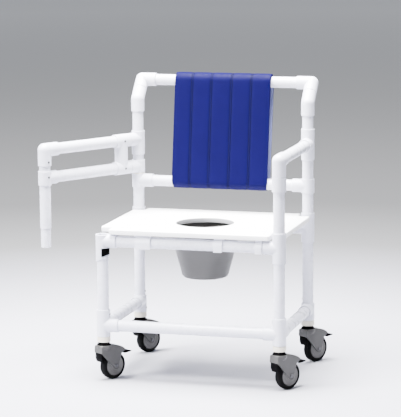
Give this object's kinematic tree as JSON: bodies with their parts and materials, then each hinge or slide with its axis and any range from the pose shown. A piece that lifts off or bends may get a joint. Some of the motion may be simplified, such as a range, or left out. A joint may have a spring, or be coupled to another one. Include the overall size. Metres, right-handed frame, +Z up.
{
  "type": "commode chair",
  "caption": "Wheeled commode chair of round white tube with a board seat over a sliding pail, a padded back cover and a left arm that lifts and swings aside.",
  "frame": {"origin": "on the floor, at the centre of the box around the whole chair with its left arm swung open", "axes": "+Z up, -Y to the chair's front, +X to the side of the fixed arm; Z = 0 is the floor under the wheels"},
  "size_m": [0.9744, 0.5726, 1.0509],
  "materials": {
    "white_tube": "satin white PVC",
    "white_fitting": "satin white moulded PVC",
    "white_board": "smooth white sheet plastic",
    "blue_vinyl": "padded blue vinyl with stitched channels",
    "grey_pail": "grey moulded plastic",
    "grey_caster": "grey moulded plastic",
    "black_plastic": "black moulded plastic",
    "black_tyre": "black tread on a grey hub"
  },
  "bodies": {
    "frame": {"left_front_leg": "white_tube", "right_front_leg": "white_tube", "left_rear_post": "white_tube", "right_rear_post": "white_tube", "front_seat_rail": "white_tube", "rear_seat_rail": "white_tube", "lower_back_rail": "white_tube", "top_handle_rail": "white_tube", "front_base_rail": "white_tube", "left_base_rail": "white_tube", "right_base_rail": "white_tube", "right_arm_rail": "white_tube", "left_front_base_fitting": "white_fitting", "right_front_base_fitting": "white_fitting", "left_rear_base_fitting": "white_fitting", "right_rear_base_fitting": "white_fitting", "right_front_seat_tee": "white_fitting", "left_rear_seat_tee": "white_fitting", "right_rear_seat_tee": "white_fitting", "left_back_rail_tee": "white_fitting", "right_back_rail_tee": "white_fitting", "right_arm_rear_tee": "white_fitting", "left_front_corner_fitting": "white_fitting", "right_arm_elbow": "white_fitting", "right_arm_coupling": "white_fitting", "left_handle_bend": "white_fitting", "left_handle_elbow": "white_fitting", "right_handle_bend": "white_fitting", "right_handle_elbow": "white_fitting", "back_cover": "blue_vinyl"},
    "seat": {"seat_board": "white_board", "left_front_clip": "white_fitting", "middle_front_clip": "white_fitting", "right_front_clip": "white_fitting", "rear_clip": "white_fitting", "left_pail_guide": "white_fitting", "right_pail_guide": "white_fitting"},
    "pail": {"pail": "grey_pail"},
    "latch": {"latch_button": "black_plastic"},
    "arm_ring": {"arm_bearing_ring": "white_fitting"},
    "arm": {"arm_lower_hinge_sleeve": "white_fitting", "arm_upper_hinge_sleeve": "white_fitting", "arm_upper_rail": "white_tube", "arm_lower_rail": "white_tube", "arm_stiffener": "white_fitting", "arm_front_elbow": "white_fitting", "arm_front_tee": "white_fitting", "arm_front_post": "white_tube"},
    "left_front_fork": {"left_front_caster_fork": "grey_caster"},
    "left_front_wheel": {"left_front_caster_wheel": "black_tyre"},
    "left_front_pedal": {"left_front_brake_pedal": "black_plastic"},
    "right_front_fork": {"right_front_caster_fork": "grey_caster"},
    "right_front_wheel": {"right_front_caster_wheel": "black_tyre"},
    "right_front_pedal": {"right_front_brake_pedal": "black_plastic"},
    "left_rear_fork": {"left_rear_caster_fork": "grey_caster"},
    "left_rear_wheel": {"left_rear_caster_wheel": "black_tyre"},
    "left_rear_pedal": {"left_rear_brake_pedal": "black_plastic"},
    "right_rear_fork": {"right_rear_caster_fork": "grey_caster"},
    "right_rear_wheel": {"right_rear_caster_wheel": "black_tyre"},
    "right_rear_pedal": {"right_rear_brake_pedal": "black_plastic"}
  },
  "joints": [
    {"name": "arm_lift", "type": "slide", "parent": "frame", "child": "arm_ring", "axis": [0, 0, 1], "range_m": [0, 0.0705]},
    {"name": "arm_swing", "type": "hinge", "parent": "arm_ring", "child": "arm", "pos_m": [-0.22883, 0.18208, 0.75], "axis": [0, 0, -1], "range_deg": [-32.67, 87.33]},
    {"name": "seat_lift", "type": "slide", "parent": "frame", "child": "seat", "axis": [0, 0, 1], "range_m": [0, 0.06]},
    {"name": "pail_slide", "type": "slide", "parent": "seat", "child": "pail", "axis": [0, 1, 0], "range_m": [0, 0.075]},
    {"name": "latch_press", "type": "slide", "parent": "frame", "child": "latch", "axis": [-0.766, 0.6428, 0], "range_m": [0, 0.0025], "stiffness_N_per_m": 200, "springref_m": -0.001},
    {"name": "left_front_swivel", "type": "hinge", "parent": "frame", "child": "left_front_fork", "pos_m": [-0.22883, -0.25272, 0.13], "axis": [0, 0, 1], "continuous": true},
    {"name": "left_front_roll", "type": "hinge", "parent": "left_front_fork", "child": "left_front_wheel", "pos_m": [-0.20785, -0.22103, 0.05], "axis": [-0.8339, 0.5519, 0], "continuous": true},
    {"name": "left_front_brake", "type": "hinge", "parent": "left_front_fork", "child": "left_front_pedal", "pos_m": [-0.19433, -0.2006, 0.1005], "axis": [-0.8339, 0.5519, 0], "range_deg": [0, 12]},
    {"name": "right_front_swivel", "type": "hinge", "parent": "frame", "child": "right_front_fork", "pos_m": [0.41118, -0.25272, 0.13], "axis": [0, 0, 1], "continuous": true},
    {"name": "right_front_roll", "type": "hinge", "parent": "right_front_fork", "child": "right_front_wheel", "pos_m": [0.43215, -0.22103, 0.05], "axis": [-0.8339, 0.5519, 0], "continuous": true},
    {"name": "right_front_brake", "type": "hinge", "parent": "right_front_fork", "child": "right_front_pedal", "pos_m": [0.44567, -0.2006, 0.1005], "axis": [-0.8339, 0.5519, 0], "range_deg": [0, 12]},
    {"name": "left_rear_swivel", "type": "hinge", "parent": "frame", "child": "left_rear_fork", "pos_m": [-0.22883, 0.18208, 0.13], "axis": [0, 0, 1], "continuous": true},
    {"name": "left_rear_roll", "type": "hinge", "parent": "left_rear_fork", "child": "left_rear_wheel", "pos_m": [-0.20785, 0.21377, 0.05], "axis": [-0.8339, 0.5519, 0], "continuous": true},
    {"name": "left_rear_brake", "type": "hinge", "parent": "left_rear_fork", "child": "left_rear_pedal", "pos_m": [-0.19433, 0.2342, 0.1005], "axis": [-0.8339, 0.5519, 0], "range_deg": [0, 12]},
    {"name": "right_rear_swivel", "type": "hinge", "parent": "frame", "child": "right_rear_fork", "pos_m": [0.41118, 0.18208, 0.13], "axis": [0, 0, 1], "continuous": true},
    {"name": "right_rear_roll", "type": "hinge", "parent": "right_rear_fork", "child": "right_rear_wheel", "pos_m": [0.43215, 0.21377, 0.05], "axis": [-0.8339, 0.5519, 0], "continuous": true},
    {"name": "right_rear_brake", "type": "hinge", "parent": "right_rear_fork", "child": "right_rear_pedal", "pos_m": [0.44567, 0.2342, 0.1005], "axis": [-0.8339, 0.5519, 0], "range_deg": [0, 12]}
  ]
}
